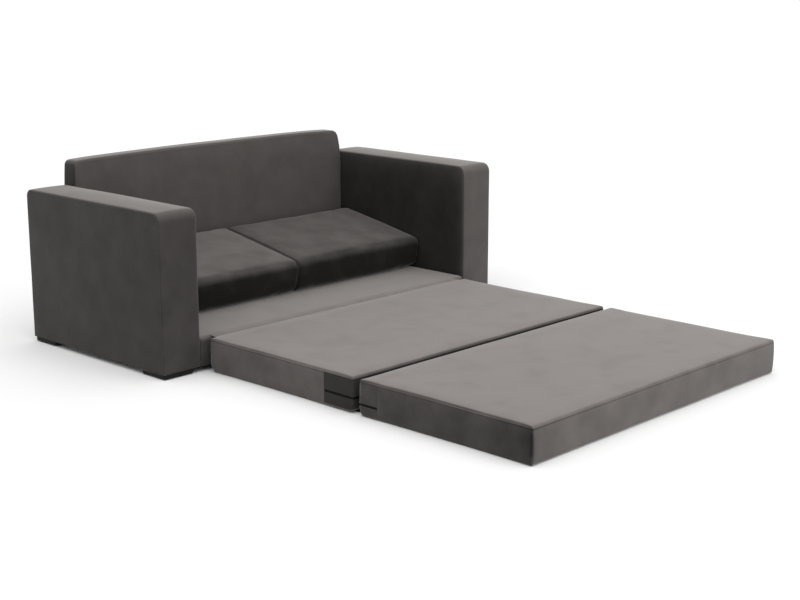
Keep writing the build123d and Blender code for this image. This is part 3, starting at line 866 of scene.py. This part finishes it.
# %% [markdown]
# A zip lies in a shallow slot of its cover: two woven tapes, sewn in side by side, and
# the coil between them, a row of small nylon teeth that grip each other in turn. The
# slot's floor is pulled in and separated, so that the tape fits the slot exactly, and
# its middle edge becomes a curve. One pair of teeth is modelled, repeated by an array as
# often as the curve is long, and bent round the corners by a curve modifier. The pitch
# is 2.7 mm, about that of a heavy coil zip.

# %% Zips
zip_half = 0.005
zip_rows = (-0.012, -0.006, 0.006, 0.012)
zip_sink = 0.0030
tape_thickness = 0.0008
tooth_pitch = 0.0027
tooth_width = 0.0015
tooth_depth = 0.0012
tooth_reach = 0.0021
tooth_grip = 0.0006
tooth_bevel = 0.0003


def new_one(kept):
    """The piece that an operator has just split off from another."""
    return [o for o in bpy.context.selected_objects if o != kept][0]


def coil_along(path, name):
    """Repeat one pair of teeth along a curve."""
    teeth = []
    for side in (-1, 1):
        start = tooth_pitch / 2 * (side > 0)
        bottom, top = sorted((-side * tooth_grip, side * tooth_reach))
        tooth = add_box(
            name,
            (start, -tooth_depth / 2, bottom), (start + tooth_width, tooth_depth / 2, top),
        )
        use_modifier(tooth, "BEVEL", width=tooth_bevel, segments=1, limit_method="NONE")
        teeth.append(tooth)
    coil, other = teeth
    join(coil, other)
    use_modifier(
        coil, "ARRAY", fit_type="FIT_CURVE", curve=path, use_relative_offset=False,
        use_constant_offset=True, constant_offset_displace=(tooth_pitch, 0, 0),
    )
    use_modifier(coil, "CURVE", object=path, deform_axis="POS_X")
    coil.data.materials.append(zip_coil)
    return coil


def make_zip(cover, name, level, in_slot):
    """Open the slot of a zip in a cover, and lay tape and coil in it."""
    pick(
        cover, "FACE",
        lambda c, n: abs(c.z - level) < zip_half and abs(n.z) < 0.6 and in_slot(c),
    )
    bpy.ops.mesh.extrude_region_shrink_fatten(
        TRANSFORM_OT_shrink_fatten={"value": -zip_sink}
    )
    bpy.ops.mesh.separate(type="SELECTED")
    done()
    tape = new_one(cover)
    pick(
        tape, "EDGE", lambda a, b: all(abs(p.z - level) < zip_half / 5 for p in (a, b))
    )
    bpy.ops.mesh.duplicate()
    bpy.ops.mesh.separate(type="SELECTED")
    done()
    path = new_one(tape)
    make_active(path)
    bpy.ops.object.convert(target="CURVE")
    path.data.twist_mode = "Z_UP"
    coil = coil_along(path, name)
    bpy.data.objects.remove(path)
    close_cloth(tape, tape_thickness)
    tape.data.materials.clear()
    tape.data.materials.append(zip_tape)
    join(tape, coil)
    tape.name = name
    return tape


# %% [markdown]
# A slider is a small die-cast shoe with a pull tab on a bridge. It is modelled once from
# two boxes: the shoe is narrowed at its nose with a bevel, its bridge is inset and
# extruded from its face, and the tab is a plate with round corners and a sunk middle.
# Each zip gets a copy with its own mesh, turned to its face.

# %% Zip slider
shoe_length = 0.014
shoe_half = 0.0042
shoe_low, shoe_high = -0.00105, 0.00105
tab_end = 0.036
tab_half = 0.0025
tab_low = 0.00005

shoe = add_box(
    "slider_shoe", (0, shoe_low, -shoe_half), (shoe_length, shoe_high, shoe_half)
)
pick(shoe, "EDGE", lambda a, b: max(a.x, b.x) < near and abs(a.z - b.z) < near)
bpy.ops.mesh.bevel(offset=0.0026, segments=4, affect="EDGES")
done()
use_modifier(shoe, "BEVEL", width=0.0004, segments=2, limit_method="ANGLE")
pick(shoe, "FACE", lambda c, n: n.y > 0.999)
bpy.ops.mesh.inset(thickness=0.0022)
bpy.ops.mesh.extrude_region_move(TRANSFORM_OT_translate={"value": (0, 0.0007, 0)})
done()
tab = add_box(
    "slider_tab", (shoe_length, tab_low, -tab_half), (tab_end, shoe_high, tab_half)
)
pick(
    tab, "EDGE",
    lambda a, b: abs(a.x - b.x) < near and abs(a.z - b.z) < near
    and a.x > shoe_length + near,
)
bpy.ops.mesh.bevel(offset=0.0018, segments=4, affect="EDGES")
done()
pick(tab, "FACE", lambda c, n: n.y > 0.999)
bpy.ops.mesh.inset(thickness=0.0009)
bpy.ops.mesh.extrude_region_move(TRANSFORM_OT_translate={"value": (0, -0.0003, 0)})
done()
join(shoe, tab)
smooth(shoe, 35)
shoe.data.transform(Matrix.Translation((-tab_end / 2, 0, 0)))
print("slider faces:", len(shoe.data.polygons))


def add_slider(name, turn):
    """A copy of the slider, turned, in the middle of the place of its solid."""
    low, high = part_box(name)
    slider = shoe.copy()
    slider.data = shoe.data.copy()
    slider.name = name.replace("slider", "pull")
    scene.collection.objects.link(slider)
    slider.data.transform(Matrix.Translation((low + high) / 2) @ turn)
    finish_piece(slider, name, "zip_metal", [name], slider_enamel)


# %% [markdown]
# A block is a slab of foam in a tight cover. The top panel wraps over the edge and is
# sewn to the border just below it, all the way round. Two short seams run down the
# corners away from the zip, and one beside each end of the zip, where its strip is let
# in. The foot of each end is rounded off, least at the foot of the bed. The box is
# bevelled, cut at the seams and at the zip, crowned, drawn in at its sides, and then
# blown up. Its seams are painted dark, as painted shade in their grooves, and round the
# left corner at the foot of the bed the painted tone is darker still.

# %% Blocks
block_half = 0.704
block_step = 0.024
foot = (0.036, 7)
bed_end_foot = (0.010, 4)
zip_foot = (0.022, 5)
top_edge = (0.0085, 3)
block_outline = (0.0055, 3)
upper_levels = [0.080, 0.096]
block_seam_depth = 0.0018
# The block seams are painted nearly black, as a painted shade line in their grooves.
block_seam_shade = 0.06
corner_darkening = 0.16
corner_reach = 0.11
faint_seam = 0.35
panel_floor = 0.012
top_seam_drop = 0.0113
foot_free = 0.03
border_x = 0.69
border_reach = 0.02
block_stiffness = 20
block_slack = 0.004
middle_zip_level = 0.054
front_zip_level = 0.041
front_zip_return = 0.084
block_room = ((0.004, 0.004), (0.001, 0.001), (0.001, 0.0005))
# Painted light and shade by facing: the tops painted fully lit, the sides and feet darker.
middle_tones = ((0.44, 0.4), (0.4, 0.4), (0.2, 1.0))
front_tones = ((0.24, 0.4), (0.62, 0.4), (0.2, 1.0))


def block_body(name, low, high, zip_level, zip_end, zip_at_back, tones):
    """One block from its corners, the height of its zip and where the zip ends."""
    front_foot, back_foot = (bed_end_foot, zip_foot) if zip_at_back else (foot, foot)
    piece = upholstered(
        name, low, high, 0, ((front_foot, top_edge), (back_foot, top_edge)),
        (block_outline, block_outline), block_step, False,
        [panel_floor] + [zip_level + row for row in zip_rows] + upper_levels,
    )
    seam_z = high.z - top_seam_drop
    cut(piece, 2, [seam_z + row for row in (-seam_row, 0, seam_row)])
    cut(piece, 1, [zip_end + row for row in (-seam_row, 0, seam_row)])
    middle_y = (low.y + high.y) / 2
    piece.vertex_groups["seam"].remove([
        p.index for p in piece.data.vertices
        if not low.z + foot_free < p.co.z < seam_z - seam_row
        or (p.co.y > middle_y) == zip_at_back
    ])
    end_y = high.y if zip_at_back else low.y

    def beside_zip(p):
        """The short seams at the ends of the zip, pressed flat and fainter."""
        return (
            abs(p.y - zip_end) < near and abs(p.x) > border_x
            and low.z + foot_free / 2 < p.z < seam_z
        )

    def by_zip(p):
        """The part of the border that the zip holds."""
        past = (p.y > zip_end - near) if zip_at_back else (p.y < zip_end + near)
        return past and (abs(p.x) > border_x or abs(p.y - end_y) < border_reach)

    group_points(piece, "seam", beside_zip, faint_seam)
    group_points(piece, "seam", lambda p: abs(p.z - seam_z) < near)
    hold_seams(piece)
    group_points(
        piece, "held",
        lambda p: p.z < low.z + near
        or (abs(p.z - zip_level) < zip_rows[2] + near and by_zip(p)),
    )
    pad_form(piece, low, high, 0.001, 0, 0.001, 0.004, 0.003)
    blow_up(piece, block_room, block_stiffness, block_slack)
    ripple(piece, 0.3, 0.003, (low.y, 3, 1), "held")
    block = name.replace("_body", "")
    core = add_core(piece, block + "_foam_core", foam_depth)
    finish_piece(core, block, "foam", [block + "_foam"], foam)
    sink_seams(piece, block_seam_depth)
    use_modifier(piece, "SUBSURF", levels=1, render_levels=1)
    paint_light_and_pile(piece, tones, block_seam_shade)
    return piece


middle_low, middle_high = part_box("middle_block_cover")
panel_low, panel_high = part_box("middle_block_zip_panel")
middle_low.y = panel_low.y
middle_low.z = 0
front_low, front_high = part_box("front_block_cover")
front_low.z = 0
for corner, sign in ((middle_low, -1), (middle_high, 1), (front_low, -1), (front_high, 1)):
    corner.x = sign * block_half
front_zip_end = front_high.y - front_zip_return

middle_block = block_body(
    "middle_block_body", middle_low, middle_high, middle_zip_level, panel_high.y, False,
    middle_tones,
)
front_block = block_body(
    "front_block_body", front_low, front_high, front_zip_level, front_zip_end, True,
    front_tones,
)
# The front block is painted darker round its left corner at the foot of the bed, below the
# top seam.
points = read_points(front_block)
from_corner = np.hypot(points[:, 0] - front_low.x, points[:, 1] - front_low.y)
below_top = points[:, 2] < front_high.z - top_seam_drop
add_painted_light(front_block, -corner_darkening * below_top * np.exp(-from_corner / corner_reach))
middle_zip = make_zip(
    middle_block, "middle_block_zip_coil", middle_zip_level,
    lambda c: c.y < panel_high.y
    and (abs(c.x) > border_x or c.y < middle_low.y + border_reach),
)
front_zip = make_zip(
    front_block, "front_block_zip_coil", front_zip_level,
    lambda c: c.y > front_zip_end
    and (abs(c.x) > border_x or c.y > front_high.y - border_reach),
)

# %% [markdown]
# The middle block has a separate end panel that holds its zip. It was cut against the
# pile and looks darker. It is separated from the body after the swelling, so the two
# meet exactly at the seam.

# %% End panel of the middle block
panel_tones = ((0.115, 0.115),) * 3
panel_reach = 0.036
panel_top = middle_high.z - top_seam_drop
seam_fall = 0.0008


def in_panel(c, n):
    """The border from the panel's floor to the seam, which falls to the corners."""
    u = c.x / middle_high.x
    v = 2 * (c.y - middle_low.y) / (middle_high.y - middle_low.y) - 1
    at_border = abs(c.x) > border_x - border_reach or c.y < middle_low.y + panel_reach
    below_seam = c.z < panel_top - seam_fall * (u**2 + v**2)
    return at_border and c.y < panel_high.y and c.z > panel_floor and below_seam


pick(middle_block, "FACE", in_panel)
bpy.ops.mesh.separate(type="SELECTED")
done()
end_panel = new_one(middle_block)
end_panel.name = "middle_block_end_panel"
paint_light_and_pile(end_panel, panel_tones, 0.05)

for piece in (middle_block, front_block, end_panel):
    close_cloth(piece)
finish_piece(
    middle_block, "middle_block", "velvet_block", ["middle_block_cover"], velvet_block
)
finish_piece(
    front_block, "front_block", "velvet_block", ["front_block_cover"], velvet_block
)
finish_piece(
    end_panel, "middle_block", "velvet_panel", ["middle_block_zip_panel"], velvet_panel
)
finish_piece(middle_zip, "middle_block", "zip_tape", ["middle_block_zip"])
finish_piece(front_zip, "front_block", "zip_tape", ["front_block_zip"])
add_slider("middle_block_zip_slider", Matrix.Rotation(math.pi, 4, "Z"))
add_slider("front_block_zip_slider", Matrix())

# %% [markdown]
# The cushions are loose and boxed. One long strip of velvet runs over the top, down the
# front and under, and a side panel is sewn in at each end, so thin seams stand proud
# along the side outline while the front edge is soft and has none. They are made level,
# blown up more than the blocks, and only then turned into place, where the front foot
# rests on the base and the back leans on the backrest. The front and the underside are
# painted almost black below the light-painted top, as painted shade, and the proud seams
# are painted light, as painted highlights.

# %% Cushions
cushion_depth = 0.490
cushion_height = 0.158
cushion_tilt = math.radians(10.5)
cushion_seam_depth = -0.0008
cushion_front_edges = ((0.045, 8), (0.034, 7))
cushion_rear_edges = ((0.035, 6), (0.030, 6))
cushion_outline = (0.009, 3)
cushion_stiffness = 15
cushion_slack = 0.01
cushion_room = ((0.0012, 0.0012), (0.005, 0.0005), (0.0005, 0.006))
# Painted light and shade by facing: the tops painted light, the front and underside painted
# black as shade.
cushion_tones = {"left": ((0.08, 0.08), (0.0, 0.1), (0.0, 0.56)),
                 "right": ((0.08, 0.08), (0.0, 0.1), (0.0, 0.39))}
slot_half = 0.27175
tape_back = cushion_depth - 0.0055
tape_half = 0.0047

for name in ("left", "right"):
    low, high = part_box(name + "_cushion_cover")
    zip_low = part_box(name + "_cushion_zip")[0]
    level = cushion_height / 2
    middle = (low.x + high.x) / 2
    cosine, sine = math.cos(cushion_tilt), math.sin(cushion_tilt)
    origin = Vector((
        0,
        zip_low.y - tape_back * cosine + (level + tape_half) * sine,
        zip_low.z - tape_back * sine - (level - tape_half) * cosine,
    ))
    tilt = Matrix.Translation(origin) @ Matrix.Rotation(cushion_tilt, 4, "X")
    flat_low = Vector((low.x, 0, 0))
    flat_high = Vector((high.x, cushion_depth, cushion_height))
    cushion = upholstered(
        name + "_cushion_body", flat_low, flat_high, 0,
        (cushion_front_edges, cushion_rear_edges), (cushion_outline, cushion_outline),
        block_step, False, [level + row for row in zip_rows],
    )
    cut(cushion, 0, [middle - slot_half, middle + slot_half])
    hold_seams(cushion)
    group_points(
        cushion, "held",
        lambda p: abs(p.z - level) < zip_rows[2] + near and p.y > cushion_depth - near
        and abs(p.x - middle) < slot_half + near,
    )
    pad_form(cushion, flat_low, flat_high, 0.004, 0.008, 0.003, 0.004, 0.004)
    blow_up(cushion, cushion_room, cushion_stiffness, cushion_slack)
    ripple(cushion, 0.25, 0.004, (middle * 5, 3, 1), "held")
    core = add_core(cushion, name + "_cushion_foam_core", foam_depth)
    core.data.transform(tilt)
    finish_piece(core, name + "_cushion", "foam", [name + "_cushion_foam"], foam)
    sink_seams(cushion, cushion_seam_depth)
    use_modifier(cushion, "SUBSURF", levels=1, render_levels=1)
    # The side seams are painted light, as painted highlights on their ridges.
    paint_light_and_pile(cushion, cushion_tones[name], 0.45)
    closure = make_zip(
        cushion, name + "_cushion_zip_coil", level,
        lambda c: c.y > cushion_depth - 0.01 and abs(c.x - middle) < slot_half,
    )
    close_cloth(cushion)
    cushion.data.transform(tilt)
    closure.data.transform(tilt)
    finish_piece(
        cushion, name + "_cushion", "velvet_cushion", [name + "_cushion_cover"],
        velvet_cushion,
    )
    finish_piece(closure, name + "_cushion", "zip_tape", [name + "_cushion_zip"])
    add_slider(name + "_cushion_zip_slider", Matrix.Rotation(cushion_tilt, 4, "X"))
bpy.data.objects.remove(shoe)

# %% [markdown]
# The blocks hang together by two strips of cloth. The upper one is velvet, sewn between
# the top edges of the base and of the middle block, and sinks a little between them. The
# lower one is a woven strip on the floor, between the feet of the two blocks. Each is
# one strip, with a seam along its hinge line.

# %% Sewn hinges
strip_half = 0.674
strip_thickness = 0.0008


def hinge_strip(name, places, hinge, replaced, material, tone):
    """A strip of cloth through places in Y and Z, with a seam along its hinge line."""
    ys, zs = zip(*places)
    strip = add_box(name, (-strip_half, ys[0], 0), (strip_half, ys[-1], strip_thickness))
    cut(strip, 1, list(ys[1:-1]))
    cut(strip, 0, spread(-strip_half, strip_half, 0.05))
    points = read_points(strip)
    points[:, 2] += np.interp(points[:, 1], ys, zs)
    move_points(strip, points)
    group_points(strip, "seam", lambda p: abs(p.y - hinge[0]) < near)
    # The strip is painted one even tone, and its hinge line half as light, as a painted
    # shade line in the fold.
    paint_light_and_pile(strip, ((tone, tone),) * 3, tone / 2)
    smooth(strip)
    strip.data.materials.append(material)
    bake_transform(strip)
    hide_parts(*replaced)
    print(strip.name, "faces:", len(strip.data.polygons))


# The velvet strip is painted light, like the painted-lit tops beside it.
hinge_strip(
    "upper_hinge_strip",
    [(0.3110, 0.1264), (0.3150, 0.1267), (0.3175, 0.1266), (0.3240, 0.1268),
     (0.3310, 0.1263), (0.3365, 0.1248), (0.3420, 0.1267), (0.3500, 0.1280),
     (0.3560, 0.1287), (0.3605, 0.1293), (0.3640, 0.1294)],
    (0.3365, 0.1323),
    ["base_hinge_flap", "middle_block_upper_flap"],
    velvet_block, 0.95,
)
hinge_strip(
    "lower_hinge_strip",
    [(-0.4690, 0.0004), (-0.4500, 0.0002), (-0.4350, 0.0000), (-0.4305, 0.0000),
     (-0.4245, 0.0000), (-0.4185, 0.0000), (-0.4000, 0.0004)],
    (-0.4245, -0.0003),
    ["middle_block_lower_flap", "front_block_flap"],
    hinge_fabric, 0,
)

# %% [markdown]
# The sofa is shown on a plain pale studio floor. It is one painted face, much larger
# than the sofa, so that its edge stays out of sight, and it is not part of the sofa.

# %% Floor
floor_half = 60

bpy.ops.object.select_all(action="DESELECT")
bpy.ops.mesh.primitive_plane_add(size=2 * floor_half, location=(0, 0, 0))
floor = bpy.context.object
floor.name = "studio_floor"
floor_paint = speckled("pale_floor_paint", "#f3f3f3", "#f6f6f6", 0.9, 0.5, 0.0001)
floor.data.materials.append(floor_paint)
print(floor.name, "faces:", len(floor.data.polygons))
